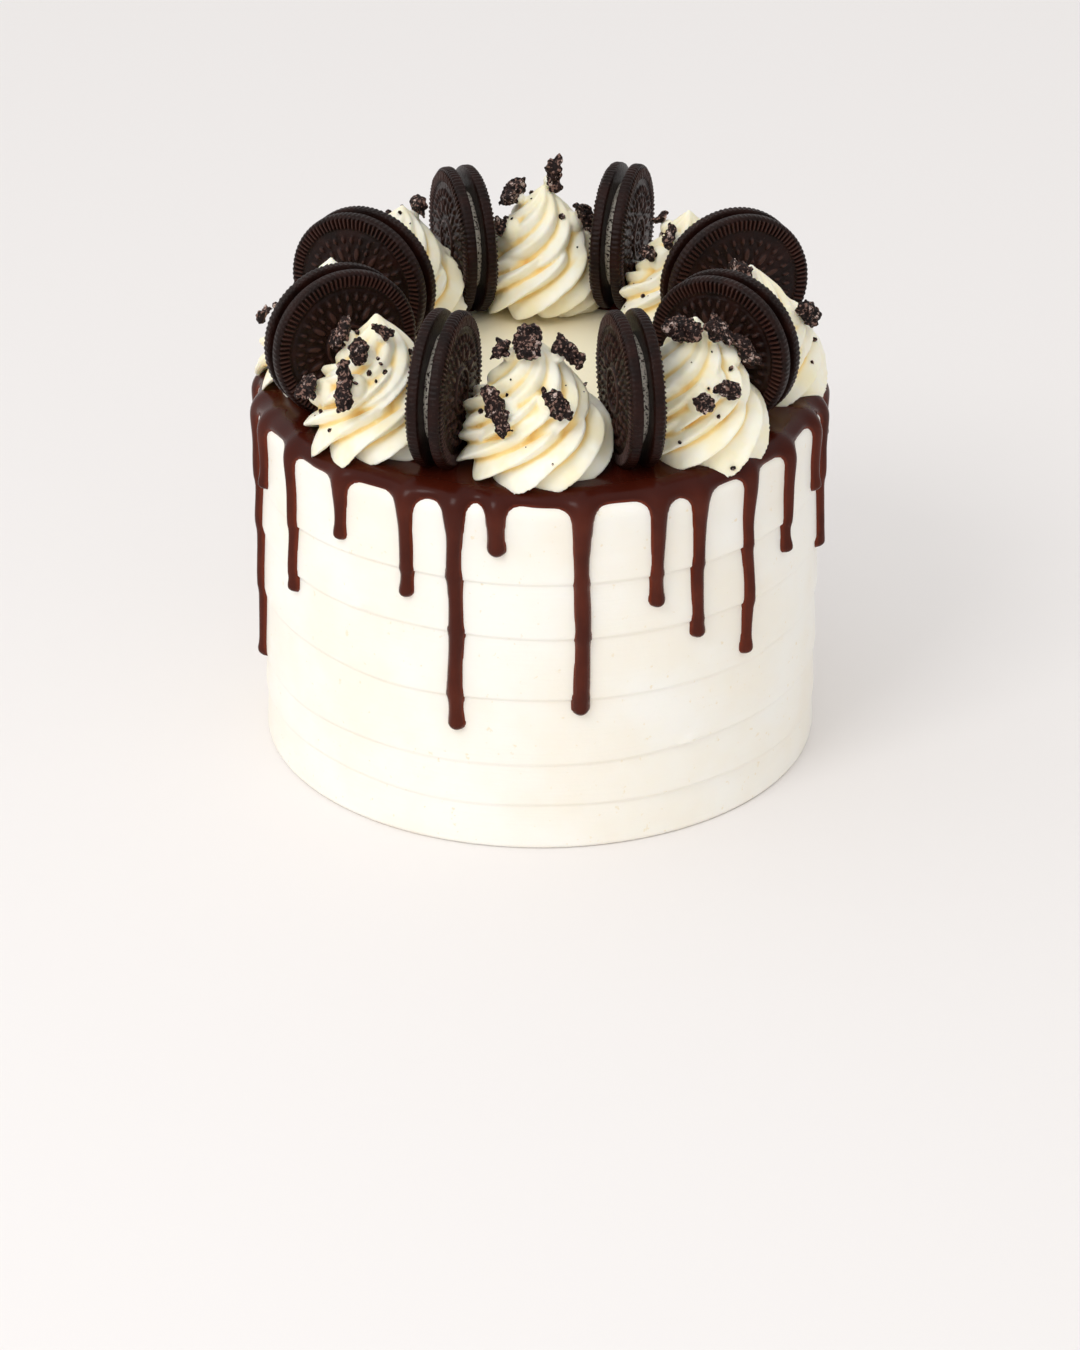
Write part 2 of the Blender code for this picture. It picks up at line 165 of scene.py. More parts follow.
def finishPiece(piece, finish, nodes=(), sharp=None):
    pick(piece)
    if sharp:
        bpy.ops.object.shade_smooth_by_angle(angle=math.radians(sharp))
    else:
        bpy.ops.object.shade_smooth()
    piece.data.materials.clear()
    piece.data.materials.append(finish)
    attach(piece, "root")
    if nodes:
        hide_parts(*nodes)
    return piece


# Materials. Colours are sRGB hex, and a pattern's size is given in millimetres.
def linear(code):
    parts = [int(code[at:at + 2], 16) / 255 for at in (1, 3, 5)]
    return (*[part / 12.92 if part <= 0.04045 else ((part + 0.055) / 1.055) ** 2.4 for part in parts], 1)


def perMetre(size):
    return 1 / (size * mm)


def addNode(tree, kind, settings=None, values=None, links=None):
    # settings are the node's own, values are for sockets, and links name (node, output) for sockets
    node = tree.nodes.new("ShaderNode" + kind)
    for name, value in (settings or {}).items():
        setattr(node, name, value)
    for socket, value in (values or {}).items():
        node.inputs[socket].default_value = value
    for socket, (source, output) in (links or {}).items():
        tree.links.new(source.outputs[output], node.inputs[socket])
    return node


def startMaterial(name, **sockets):
    made = bpy.data.materials.new(name)
    made.use_nodes = True
    tree = made.node_tree
    shader = tree.nodes["Principled BSDF"]
    for socket, value in sockets.items():
        shader.inputs[socket.replace("_", " ")].default_value = value
    place = addNode(tree, "TexCoord")
    return made, tree, shader, place


def mixColours(tree, factor, one, other):
    # one and other are hex colours or (node, output)
    node = addNode(tree, "Mix", {"data_type": "RGBA"}, links={0: factor})
    for socket, colour in ((6, one), (7, other)):
        if isinstance(colour, str):
            node.inputs[socket].default_value = linear(colour)
        else:
            tree.links.new(colour[0].outputs[colour[1]], node.inputs[socket])
    return node, 2


def spread(tree, source, low, high, least=0.0, most=1.0):
    # stretches the part of a value between low and high over least to most
    node = addNode(
        tree, "MapRange", {"interpolation_type": "SMOOTHSTEP"},
        {"From Min": low, "From Max": high, "To Min": least, "To Max": most}, {"Value": source},
    )
    return node, 0


def addNoise(tree, place, size, detail=3.0, stretch=(1, 1, 1), roughness=0.55):
    mapping = addNode(tree, "Mapping", values={"Scale": stretch}, links={"Vector": (place, "Object")})
    values = {"Scale": perMetre(size), "Detail": detail, "Roughness": roughness}
    return addNode(tree, "TexNoise", values=values, links={"Vector": (mapping, 0)}), 0


def addBump(tree, shader, height, depth, strength=1.0, below=None):
    # depth in mm; below is the bump that this one lies on
    links = {"Height": height}
    if below:
        links["Normal"] = (below, 0)
    bump = addNode(tree, "Bump", values={"Strength": strength, "Distance": depth * mm}, links=links)
    tree.links.new(bump.outputs[0], shader.inputs["Normal"])
    return bump


# Meringue buttercream, combed with a metal scraper: very smooth and nearly white, with a soft sheen,
# faint level streaks from the scraper and a few pores where air was. The pores are painted a little darker as
# shade, and the flat top inside the swirls carries a warm painted shade.
def buttercreamFinish():
    made, tree, shader, place = startMaterial(
        "combed_buttercream", Roughness=0.42, IOR=1.45, Subsurface_Weight=0.12, Subsurface_Scale=2.5 * mm,
        Subsurface_Radius=(1.0, 0.8, 0.55),
    )
    patches = spread(tree, addNoise(tree, place, 34), 0.35, 0.7)
    base = mixColours(tree, patches, "#FDFAF1", "#FBF4E6")
    streaks = addNoise(tree, place, 14, 4, (1, 1, 16))
    pores = addNoise(tree, place, 2.2, 2)
    # painted shade: the flat top inside the swirls is tinted warmer and yellower, standing in for the shade
    # and yellow bounce light from the cream round it
    inside = addNode(tree, "Attribute", {"attribute_name": "inside"})
    base = mixColours(tree, (inside, "Fac"), base, "#FFF5D8")
    # painted shade: the pores are a little darker and warmer than the cream round them
    deep = spread(tree, pores, 0.24, 0.33, 1, 0)
    colour = mixColours(tree, deep, base, "#F6EBD4")
    tree.links.new(colour[0].outputs[2], shader.inputs["Base Color"])
    first = addBump(tree, shader, streaks, 0.10)
    addBump(tree, shader, pores, 0.12, 0.35, first)
    return made


# Dark chocolate ganache, poured warm and set: smooth with a soft gloss and redder where it is thin.
# Its top is darkened with painted shade, standing in for the shade between the swirls.
def chocolateFinish():
    made, tree, shader, place = startMaterial(
        "set_chocolate", Roughness=0.24, IOR=1.47, Specular_IOR_Level=0.15,
    )
    thin = addNode(tree, "Attribute", {"attribute_name": "thin"})
    swirl = spread(tree, addNoise(tree, place, 16, 3), 0.35, 0.7)
    base = mixColours(tree, swirl, "#461A0F", "#552214")
    # painted shade: the pour's top, between the swirls, is darkened
    onTop = addNode(tree, "Attribute", {"attribute_name": "onTop"})
    base = mixColours(tree, (onTop, "Fac"), base, "#360D05")
    edge = spread(tree, (thin, "Fac"), 0.3, 1.0)
    colour = mixColours(tree, edge, base, "#6A2A17")
    tree.links.new(colour[0].outputs[2], shader.inputs["Base Color"])
    addBump(tree, shader, addNoise(tree, place, 3.2, 3), 0.05, 0.5)
    return made


# Butter-rich piped cream: satin ridges, with a warm yellow painted shade down in the grooves, standing in for
# the shade and the yellow light that goes through the cream there.
def pipedFinish():
    made, tree, shader, place = startMaterial(
        "piped_cream", Roughness=0.4, IOR=1.46, Subsurface_Weight=0.22, Subsurface_Scale=3 * mm,
        Subsurface_Radius=(1.0, 0.72, 0.35),
    )
    # painted shade: the deeper a point lies in a groove, the yellower its colour
    groove = addNode(tree, "Attribute", {"attribute_name": "groove"})
    patches = spread(tree, addNoise(tree, place, 11), 0.35, 0.7)
    base = mixColours(tree, patches, "#FFFAE8", "#FFF3D0")
    warm = mixColours(tree, spread(tree, (groove, "Fac"), 0.0, 0.8), base, "#FEE29C")
    colour = mixColours(tree, spread(tree, (groove, "Fac"), 0.6, 2.0), warm, "#F3B643")
    tree.links.new(colour[0].outputs[2], shader.inputs["Base Color"])
    addBump(tree, shader, addNoise(tree, place, 1.8, 3), 0.06, 0.6)
    return made


# Chocolate wafer, stamped and baked very dark: dry and matt, with a fine crumb and small light flecks; the
# raised stamp and ridges get a lighter painted highlight.
def waferFinish():
    made, tree, shader, place = startMaterial(
        "baked_wafer", Roughness=0.36, IOR=1.45, Specular_IOR_Level=0.16,
    )
    raised = addNode(tree, "Attribute", {"attribute_name": "raised"})
    patches = spread(tree, addNoise(tree, place, 7, 4), 0.3, 0.75)
    base = mixColours(tree, patches, "#140704", "#260F09")
    # painted highlight: the raised motif and rim ridges are lighter and greyer
    raisedHighlight = mixColours(tree, spread(tree, (raised, "Fac"), 0.3, 1.0, 0, 0.6), base, "#4A3029")
    flecks = spread(tree, addNoise(tree, place, 0.5, 3), 0.66, 0.76)
    colour = mixColours(tree, flecks, raisedHighlight, "#5E463E")
    tree.links.new(colour[0].outputs[2], shader.inputs["Base Color"])
    coarse = addBump(tree, shader, addNoise(tree, place, 1.1, 4), 0.22)
    addBump(tree, shader, addNoise(tree, place, 0.35, 2), 0.1, 0.8, coarse)
    return made


# Sugar filling, pressed between the wafers: white, dense and matt, with dark crumbs at its edge.
def fillingFinish():
    made, tree, shader, place = startMaterial("sugar_filling", Roughness=0.6, IOR=1.45)
    specks = spread(tree, addNoise(tree, place, 0.7, 2), 0.5, 0.62)
    colour = mixColours(tree, specks, "#D8D0C2", "#2A1C18")
    tree.links.new(colour[0].outputs[2], shader.inputs["Base Color"])
    addBump(tree, shader, addNoise(tree, place, 0.9, 3), 0.12)
    return made


# Broken wafer: open crumb that scatters light, near black with pinkish brown grains and a little white
# filling smeared over it.
def brokenFinish():
    made, tree, shader, place = startMaterial(
        "broken_wafer", Roughness=0.6, IOR=1.45, Specular_IOR_Level=0.18,
    )
    patches = spread(tree, addNoise(tree, place, 2.4, 4), 0.35, 0.7)
    base = mixColours(tree, patches, "#120A09", "#2A1A17")
    grains = spread(tree, addNoise(tree, place, 1.0, 4), 0.54, 0.62)
    brown = mixColours(tree, grains, base, "#86685D")
    smears = spread(tree, addNoise(tree, place, 3.2, 5, roughness=0.75), 0.58, 0.63)
    colour = mixColours(tree, smears, brown, "#C9B2A8")
    tree.links.new(colour[0].outputs[2], shader.inputs["Base Color"])
    addBump(tree, shader, addNoise(tree, place, 0.5, 3), 0.25)
    return made


print("materials")
buttercream = buttercreamFinish()
chocolate = chocolateFinish()
pipedCream = pipedFinish()
bakedWafer = waferFinish()
sugarFilling = fillingFinish()
brokenWafer = brokenFinish()


# The coat of buttercream, combed in broad level bands that each overlap the one below.
coat = {
    "lipRadius": 84.2,  # at a band's lower edge
    "height": 112.5,
    "rimRound": 6.0,
    "baseRound": 1.2,
    "columns": 600,
    "underRings": (0, 45, 78),
    "baseTurns": (0, 30, 60),
    # height, and how far it leans to the right
    "seams": ((86.2, 0.5), (68.9, -1.0), (49.0, -0.2), (28.0, 1.0), (14.2, -1.4)),
    "wander": 0.7,
    "bandDepth": 0.95,  # how far a band's top lies behind the lip above it
    "bandCurve": 1.3,
    "lipWidth": 0.16,
    "rimFade": 12,  # the highest band fades out over this distance below the rim
    "rowsBySeam": (1.6, 0.95, 0.5, 0.2),
    "rowStep": 2.2,
    "rimRows": 8,
    "topRings": (78.2, 70, 62, 54, 46, 40, 34, 28, 22, 16, 11, 7, 4, 2, 0),
    "sideSwells": ((0.16, 26, 1), (0.06, 9, 2)),  # height, size, seed
    "topSwell": (0.22, 13, 3),
    "topSettle": 0.15,
    # the middle of the top, out to these radii, gets the painted shade
    "paintedShadeWithin": (50, 66),
    "marks": (  # bearing, height, length, width, slope, how far it stands out
        (-37, 70.9, 4.6, 0.8, 0.22, 0.7), (-33.4, 72.3, 3.0, 0.6, 0.2, 0.5),
        (30.9, 29.6, 3.4, 0.7, 0.12, 0.65), (26.7, 29.9, 1.8, 0.5, 0, 0.4), (52, 50.2, 2.2, 0.5, 0.1, 0.4),
        (-150, 29, 3, 0.7, 0.1, 0.6), (120, 69.6, 3.4, 0.7, -0.1, 0.6),
    ),
}
rimLength = coat["rimRound"] * math.pi / 2
sideTop = coat["height"] - coat["rimRound"]
flatRadius = coat["lipRadius"] - coat["rimRound"]


def seamHeights(bearing):
    return [
        height + lean * np.sin(bearing) + coat["wander"] * ripple(bearing, 11 + number)
        for number, (height, lean) in enumerate(coat["seams"])
    ]


def coatRelief(bearing, height, softness):
    # how far the side stands back from the lips, in mm, as a negative number
    edges = [np.full_like(bearing, sideTop)] + seamHeights(bearing) + [np.full_like(bearing, 0.0)]
    relief = 0.0
    for number, (top, bottom) in enumerate(zip(edges, edges[1:])):
        share = np.clip((height - bottom) / (top - bottom), 0, 1)
        depth = coat["bandDepth"] * (0.85 + 0.3 * ripple(bearing, 31 + number, 1, 5))
        band = -depth * share ** coat["bandCurve"]
        if number == 0:
            relief = band * (1 - ease(height, sideTop - coat["rimFade"], sideTop))
        else:
            above = 1 / (1 + np.exp(-np.clip((height - top) / softness, -40, 40)))
            relief = relief * above + band * (1 - above)
    return relief


def sideRows(bearing):
    # heights of the coat's rows of points from the base up, close together by each seam
    start = np.full_like(bearing, coat["baseRound"])
    edges = [start] + seamHeights(bearing)[::-1] + [np.full_like(bearing, sideTop)]
    near = coat["rowsBySeam"]
    rows = [start]
    for low, high in zip(edges, edges[1:]):
        first, last = low + near[0], high - near[0]
        count = round(float(np.mean(last - first)) / coat["rowStep"])
        rows += [low + gap for gap in near[:0:-1]]
        rows += [first + (last - first) * step / count for step in range(count + 1)]
        rows += [high - gap for gap in near[1:]]
    return rows + [edges[-1]]


def makeCoat():
    bearing = np.linspace(-math.pi, math.pi, coat["columns"] + 1)
    level = np.ones_like(bearing)
    rows = [(radius * level, 0 * level) for radius in coat["underRings"]]
    for degrees in coat["baseTurns"]:
        turn = math.radians(degrees)
        radius = coat["lipRadius"] - coat["baseRound"] * (1 - math.sin(turn))
        rows.append((radius * level, coat["baseRound"] * (1 - math.cos(turn)) * level))
    for height in sideRows(bearing):
        rows.append((coat["lipRadius"] + coatRelief(bearing, height, coat["lipWidth"]), height))
    for step in range(1, coat["rimRows"]):
        turn = math.pi / 2 * step / coat["rimRows"]
        radius = flatRadius + coat["rimRound"] * math.cos(turn)
        rows.append((radius * level, (sideTop + coat["rimRound"] * math.sin(turn)) * level))
    rows += [(radius * level, coat["height"] * level) for radius in coat["topRings"]]
    points = np.array([onBearing(bearing, radius, height) for radius, height in rows])
    flat = points.reshape(-1, 3)
    where = np.tile(bearing, len(rows))
    radius = np.hypot(flat[:, 0], flat[:, 1])
    side = ease(flat[:, 2], 1, 6)
    swell = sum(stand * lumps(flat, size, seed) for stand, size, seed in coat["sideSwells"])
    for at, height, length, width, slope, stand in coat["marks"]:
        along = (np.degrees(where) - at) * math.radians(1) * coat["lipRadius"]
        across = flat[:, 2] - height - slope * along
        mark = np.exp(-(along / length) ** 2 - (across / width) ** 2)
        swell += stand * mark * (0.8 + 0.4 * np.sin(along * 2.1))
    outwards = np.where(flat[:, 2] < coat["height"] - 0.01, radius + swell * side, radius)
    flat[:, :2] *= (outwards / np.maximum(radius, 0.01))[:, None]
    onTop = flat[:, 2] > coat["height"] - 0.01
    stand, size, seed = coat["topSwell"]
    flat[onTop, 2] += stand * lumps(flat[onTop], size, seed) - coat["topSettle"]
    piece = sheetOf("buttercreamCoat", points)
    sealMesh(piece)
    points = readPoints(piece)
    # the inside attribute marks the flat top within the swirls, where painted shade tints the cream
    radius = np.hypot(points[:, 0], points[:, 1])
    middle = 1 - ease(radius, *coat["paintedShadeWithin"])
    setAttribute(piece, "inside", middle * (points[:, 2] > coat["height"] - 1))
    return finishPiece(piece, buttercream, ["buttercream_cake"], 60)


print("coat")
makeCoat()


# The chocolate, poured over the rim so that it hangs in round arches between long drips.
drips = (  # bearing, height of the tip above the base, half width
    (-94, 95, 2.4), (-82, 26, 1.9), (-73, 88, 1.8), (-58.5, 64, 1.9), (-42.5, 90, 2.1), (-27, 78, 2.2),
    (-16.7, 38, 2.5), (-8.5, 95, 2.3), (8.2, 44, 2.5), (23.5, 76, 2.2), (32.6, 63, 2.2), (45.5, 52, 2.1),
    (58.5, 77, 2.0), (72.5, 88, 2.0), (80.5, 64, 2.0), (92, 92, 2.3), (100, 40, 2.1), (111, 82, 2.0),
    (122, 60, 2.2), (134, 92, 2.1), (145, 50, 2.3), (157, 74, 2.1), (168, 34, 2.4), (179, 86, 2.2),
    (-169, 58, 2.2), (-157, 94, 2.1), (-146, 44, 2.4), (-135, 78, 2.1), (-124, 62, 2.2), (-108, 84, 2.1),
)
pour = {
    "innerRadius": 57,
    "topThickness": 1.4,
    "dripThickness": 2.35,
    "edgeRoll": 2.4,  # the surface curves down to the edge over this distance
    "innerWander": 1.6,
    "archPath": 6.0,  # from the top's flat edge over the rim, to the edge of the pour between drips
    "archWander": 1.5,
    "fillet": 5.0,  # how widely a drip flows out of the pour
    "sway": 0.3,
    "thinning": 0.1,  # the shaft of a drip is narrower than its tip by this share
    "flare": 0.35,
    "tipSwell": (0.2, 2.2, 2.4),  # share of the width, height above the tip, reach
    "seamSwell": (0.16, 0.6, 1.1),
    "waver": 0.05,
    "ridgeReach": 3.4,
    "bead": (0.45, 3.0, 2.2),  # how far the tip's bulb stands out, its reach across and its reach along
    "topSwell": (0.2, 14, 4),  # height, size, seed
    "reach": 4.2,  # fine columns of points this far to each side of a drip
    "dripColumns": 17,
    "gapStep": 1.2,
    "rimStep": 0.8,
    "shaftRows": 46,
    "tipRows": (18, 4.6, 2.0),  # how many, from this far above a tip to this far below it
    "under": 1.2,  # how far past its edge the sheet goes on, under the cream
    "wall": 0.8,
    "thinEdge": 0.45,
    # how strongly the painted shade darkens the pour's top
    "onTop": 0.75,
    "seed": 60,
}


crookedDrip = 45.5  # the bearing of the drip that sways the most


def bump(value, middle, reach, height=1.0):
    return height * np.exp(-((value - middle) / reach) ** 2)


def blendMin(one, other, reach):
    mix = np.clip(0.5 + 0.5 * (other - one) / reach, 0, 1)
    return other * (1 - mix) + one * mix - reach * mix * (1 - mix)


def pourBearings():
    # bearings of the columns of points, once round from the first drip
    half = math.degrees(pour["reach"] / coat["lipRadius"])
    ordered = sorted(bearing for bearing, _, _ in drips)
    found = []
    for at, after in zip(ordered, ordered[1:] + [ordered[0] + 360]):
        found += list(np.linspace(at - half, at + half, pour["dripColumns"]))
        gap = after - at - 2 * half
        count = max(2, round(math.radians(gap) * coat["lipRadius"] / pour["gapStep"]))
        found += list(np.linspace(at + half, after - half, count + 1)[1:-1])
    return np.radians(found + [found[0] + 360])


def pourPaths(columns):
    # for each column, distances over the skin from the top's flat edge: inwards below 0, then over the rim
    # and down the side, close together round the tip of the column's drip
    inner = pour["innerRadius"] - flatRadius
    top = list(np.arange(inner - 2.8, inner + 4, 0.8)) + list(np.linspace(inner + 6, 0, 9))
    rim = list(np.linspace(0, rimLength, round(rimLength / pour["rimStep"]) + 1))[1:]
    ordered = sorted(drips)
    ordered.append((ordered[0][0] + 360, ordered[0][1], ordered[0][2]))
    half = pour["reach"] / coat["lipRadius"]
    edges = [math.radians(at) + side for at, _, _ in ordered for side in (-half, half)]
    tips = np.interp(columns, edges, np.repeat([tip for _, tip, _ in ordered], 2))
    tipPath = sideTop + rimLength - tips
    count, above, below = pour["tipRows"]
    shaft = np.linspace(0, 1, pour["shaftRows"] + 1)[1:, None] * (tipPath - above - rimLength) + rimLength
    end = tipPath + np.linspace(-above, below, count + 1)[1:, None]
    start = np.repeat(np.array(top + rim)[:, None], len(columns), 1)
    return np.concatenate([start, shaft, end])


def makePour():
    columns = pourBearings()
    rows = pourPaths(columns)
    bearing, path = np.tile(columns, len(rows)), rows.ravel()
    height = sideTop + rimLength - path  # true on the side, and only a measure above it
    arch = pour["archPath"] + pour["archWander"] * ripple(bearing, 5, 3, 14)
    beside = np.full_like(path, 99.0)
    ridge = np.zeros_like(path)
    bead = np.zeros_like(path)
    tipShare, tipUp, tipReach = pour["tipSwell"]
    seamShare, seamUp, seamReach = pour["seamSwell"]
    beadStand, beadWide, beadLong = pour["bead"]
    for number, (at, tip, halfWidth) in enumerate(drips):
        dice = random.Random(pour["seed"] + number)
        fromTop = sideTop - height
        sway = pour["sway"] + 0.35 * (at == crookedDrip)
        sway = sway * np.sin(height / dice.uniform(6, 9) + dice.uniform(0, 6)) * ease(fromTop, 2, 14)
        across = (np.degrees(bearing) - at + 180) % 360 - 180
        across = np.radians(across) * coat["lipRadius"] - sway
        width = 1 + bump(height, tip + tipUp, tipReach, tipShare) - pour["thinning"] * ease(fromTop, 4, 16)
        width += pour["waver"] * np.sin(height / dice.uniform(2.5, 4) + dice.uniform(0, 6))
        for seam in seamHeights(np.array([math.radians(at)])):
            width += bump(height, seam[0] + seamUp, seamReach, seamShare)
        width = halfWidth * (width + pour["flare"] * (1 - ease(fromTop, -3, 8)))
        below = np.maximum(tip + halfWidth - height, 0)
        beside = np.minimum(beside, np.hypot(across, below) - width)
        ridge = np.maximum(ridge, bump(across, 0, pour["ridgeReach"]))
        bead = np.maximum(bead, bump(across, 0, beadWide) * bump(height, tip + tipUp, beadLong))
    inner = pour["innerRadius"] - flatRadius + pour["innerWander"] * ripple(bearing, 8, 3, 12) - path
    outer = blendMin(path - arch, beside, pour["fillet"])
    past = np.maximum(outer, inner)
    ridge *= ease(path, -4, 8)
    thickness = pour["topThickness"] + (pour["dripThickness"] - pour["topThickness"]) * ridge
    thickness += beadStand * bead
    flat = onBearing(bearing, flatRadius + path, 0 * path)
    stand, size, seed = pour["topSwell"]
    thickness += stand * lumps(flat, size, seed) * (1 - ease(path, 0, 9))
    roll = np.clip(-past / pour["edgeRoll"], 0, 1)
    lift = np.where(past < 0, thickness * np.sqrt(1 - (1 - roll) ** 2), -1.5 * np.clip(past, 0, 0.9))
    relief = coatRelief(bearing, height, 1.2) * ease(path, rimLength - 4, rimLength + 4)
    turn = np.clip(path / coat["rimRound"], 0, math.pi / 2)
    reach = coat["rimRound"] + lift + relief
    radius = np.where(path <= 0, flatRadius + path, flatRadius + reach * np.sin(turn))
    level = np.where(path <= 0, coat["height"] + lift, sideTop + reach * np.cos(turn))
    level = np.where(path > rimLength, height, level)
    points = onBearing(bearing, radius, level).reshape(len(rows), len(columns), 3)
    piece = sheetOf("chocolatePour", points)
    setAttribute(piece, "thin", np.exp(-np.clip(-outer, 0, 9) / pour["thinEdge"]))
    # onTop marks the pour's top for the painted shade in its colour
    setAttribute(piece, "onTop", pour["onTop"] * (1 - ease(path, rimLength - 6, rimLength + 2)))
    pick(piece)
    piece.data.vertices.foreach_set("select", past > pour["under"])
    piece.data.edges.foreach_set("select", [False] * len(piece.data.edges))
    piece.data.polygons.foreach_set("select", [False] * len(piece.data.polygons))
    bpy.context.tool_settings.mesh_select_mode = (True, False, False)
    bpy.ops.object.mode_set(mode="EDIT")
    bpy.ops.mesh.delete(type="VERT")
    bpy.ops.object.mode_set(mode="OBJECT")
    sealMesh(piece)
    applyModifier(piece, "SOLIDIFY", thickness=pour["wall"] * mm, offset=-1)
    return finishPiece(piece, chocolate, ["chocolate_pour"], 75)


print("chocolate")
makePour()


# Cream piped through a wide star nozzle: a ribbed rope wound anticlockwise into a cone and pulled off in
# a peak.
swirls = (  # bearing, distance from the middle, turn of the start, size
    (-2, 58.5, 10, 1.02), (44, 62, 55, 1.0), (87, 62, 100, 1.0), (133, 61, 150, 0.98),
    (180, 58.5, 200, 1.02), (-135, 61, 240, 1.0), (-91, 62, 290, 0.98), (-47, 62, 330, 1.0),
)
piping = {
    "base": 113.5,
    "sunk": 1.2,  # how much lower the cream goes where no chocolate lies under it
    "teeth": 7,
    "toothDepth": 0.44,
    "lean": 0.66,  # a rib's crest lies at this share of its width, so each overhangs the one below
    "turns": (0, 0.12, 0.5, 1.0, 1.35, 1.7, 1.95),
    "loopRadius": (6.6, 11.6, 12.2, 11.8, 9.8, 7.0, 3.0),
    "middle": (5.2, 6.8, 7.6, 11.2, 15.6, 19.0, 21.0),
    "ropeRadius": (6.5, 10.0, 10.6, 10.4, 9.8, 8.4, 5.0),
    "wind": 1.5,  # turns of a rib round the rope in one loop
    "skirt": 0.18,  # how far the ribs of the first loop spread out at its foot
    "squash": 0.86,
    "loopSway": 0.35,
    "ropeSway": 0.03,
    "ribSway": 0.05,
    "flatBelow": 0.6,  # the underside of the rope is boxier than a circle by this power
    "samples": 300,
    "soften": 13,
    "around": 112,
    "voxel": 0.48,
    "grain": (3.5, 0.3),  # size and height of the cream's fine lumps
    "cavityRounds": 60,
    "ropeSeed": 80,
    # the top of the swirl, where the ribs run up to the peak: height and radius of its crests
    "top": (
        (8, 11), (12, 14.5), (16, 16.2), (19, 16.2), (22, 14.6), (26, 11.8), (30, 8.4), (34, 4.4), (37.6, 0.3),
    ),
    "topRows": 100,
    "topSoften": 4,
    "topLean": 1.6,
    "topSeed": 300,
    "topRibs": 8,
    "topDepth": 0.27,  # depth of its grooves as a share of the radius
    "topTwist": 165,  # degrees that a rib winds on the way up
    # the cream pushed up under a broken piece: its radius, and how far it stays below the piece's middle
    "bed": (3.9, 1.9),
    "bedFade": 9,  # it gets smaller within this distance of the peak
}
biscuits = (  # bearing, distance from the middle, bearing that the biscuit's edge faces
    (-25.5, 63.0, -15), (24.3, 62.4, 12.5), (63, 60.0, 58.5), (110, 61.8, 111),
    (156.5, 63.2, 165), (-157, 60.3, -163.5), (-112.5, 57.0, -117.5), (-69, 62.0, -62.5),
)
biscuit = {
    "centre": 134.8,
    "radius": 22.5,
    "wafer": 3.7,
    "filling": 2.9,
    "fillingRadius": 16.2,
    "ridges": 90,
    "steps": 360,
    "fillingSteps": 144,
    "fillingWobble": (0.05, 6, 20),  # share of its size, size of the lumps, seed
    "turnSeed": 12,
}


def standOf(number):
    # the biscuit's own frame in mm, with Z along its axis
    bearing, distance, facing = biscuits[number]
    place = Vector(onBearing(math.radians(bearing), distance, biscuit["centre"]))
    turn = Euler((0, math.radians(90), math.radians(facing))).to_matrix().to_4x4()
    return Matrix.Translation(place) @ turn


def cavity(piece, rounds):
    # how deep each point lies below the smoothed surface, in mm
    edges = np.empty(len(piece.data.edges) * 2, np.int32)
    piece.data.edges.foreach_get("vertices", edges)
    one, other = edges.reshape(-1, 2).T
    points = readPoints(piece)
    normals = np.empty(points.size, np.float32)
    piece.data.vertices.foreach_get("normal", normals)
    count = np.bincount(one, minlength=len(points)) + np.bincount(other, minlength=len(points))
    smooth = points.copy()
    for _ in range(rounds):
        total = np.zeros_like(smooth)
        for axis in range(3):
            total[:, axis] += np.bincount(one, smooth[other, axis], len(points))
            total[:, axis] += np.bincount(other, smooth[one, axis], len(points))
        smooth = total / count[:, None]
    return ((smooth - points) * normals.reshape(-1, 3)).sum(1)


def softened(values, width, **padding):
    # evens out a row of numbers over this many to each side
    weights = np.hanning(2 * width + 1)
    return np.convolve(np.pad(values, width, **padding), weights / weights.sum(), "valid")


def starRope(turn, size, seed):
    # the rope's surface as rows of points round it, in mm from the middle of the swirl's base
    dice = random.Random(seed)
    fine = np.linspace(0, piping["turns"][-1], piping["samples"])

    def along(key):
        values = np.interp(fine, piping["turns"], piping[key])
        return softened(values, piping["soften"], mode="reflect", reflect_type="odd")

    theta = math.radians(turn) + 2 * math.pi * fine
    loop = along("loopRadius") + piping["loopSway"] * np.sin(theta * 0.9 + dice.uniform(0, 6))
    loop = np.maximum(loop, 0)
    rope = along("ropeRadius") * (1 + piping["ropeSway"] * np.sin(theta * 1.7 + dice.uniform(0, 6)))
    rope = np.maximum(rope, 0.15)
    middle = onBearing(theta, loop, along("middle"))
    outwards = onBearing(theta, 1.0, 0.0)
    ahead = np.gradient(middle, axis=0)
    ahead /= np.linalg.norm(ahead, axis=1)[:, None]
    up = np.cross(outwards, ahead)
    up /= np.linalg.norm(up, axis=1)[:, None]
    side = np.cross(ahead, up)
    psi = np.linspace(0, 2 * math.pi, piping["around"] + 1)
    phase = piping["teeth"] * (piping["wind"] * theta[:, None] - psi) / (2 * math.pi) + dice.random()
    rise = ribShape(phase + piping["ribSway"] * np.sin(theta * 3.1)[:, None])
    star = 1 - piping["toothDepth"] * (1 - rise)
    first = 1 - ease(fine, 0.85, 1.2)
    star = star + piping["skirt"] * first[:, None] * rise ** 3 * ease(-np.sin(psi), -0.1, 0.6)
    boxy = np.sign(np.cos(psi)) * np.abs(np.cos(psi)) ** piping["flatBelow"]
    wide = np.where(np.sin(psi) < 0, boxy, np.cos(psi))
    tall = np.sin(psi) * piping["squash"]
    reach = rope[:, None] * star
    points = middle[:, None] + (reach * wide)[..., None] * side[:, None]
    points = points + (reach * tall)[..., None] * up[:, None]
    return points * size


def swirlCentre(number):
    return onBearing(math.radians(swirls[number][0]), swirls[number][1], piping["base"])


def chunkNodes(prefix):
    return sorted(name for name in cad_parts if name.startswith(prefix))


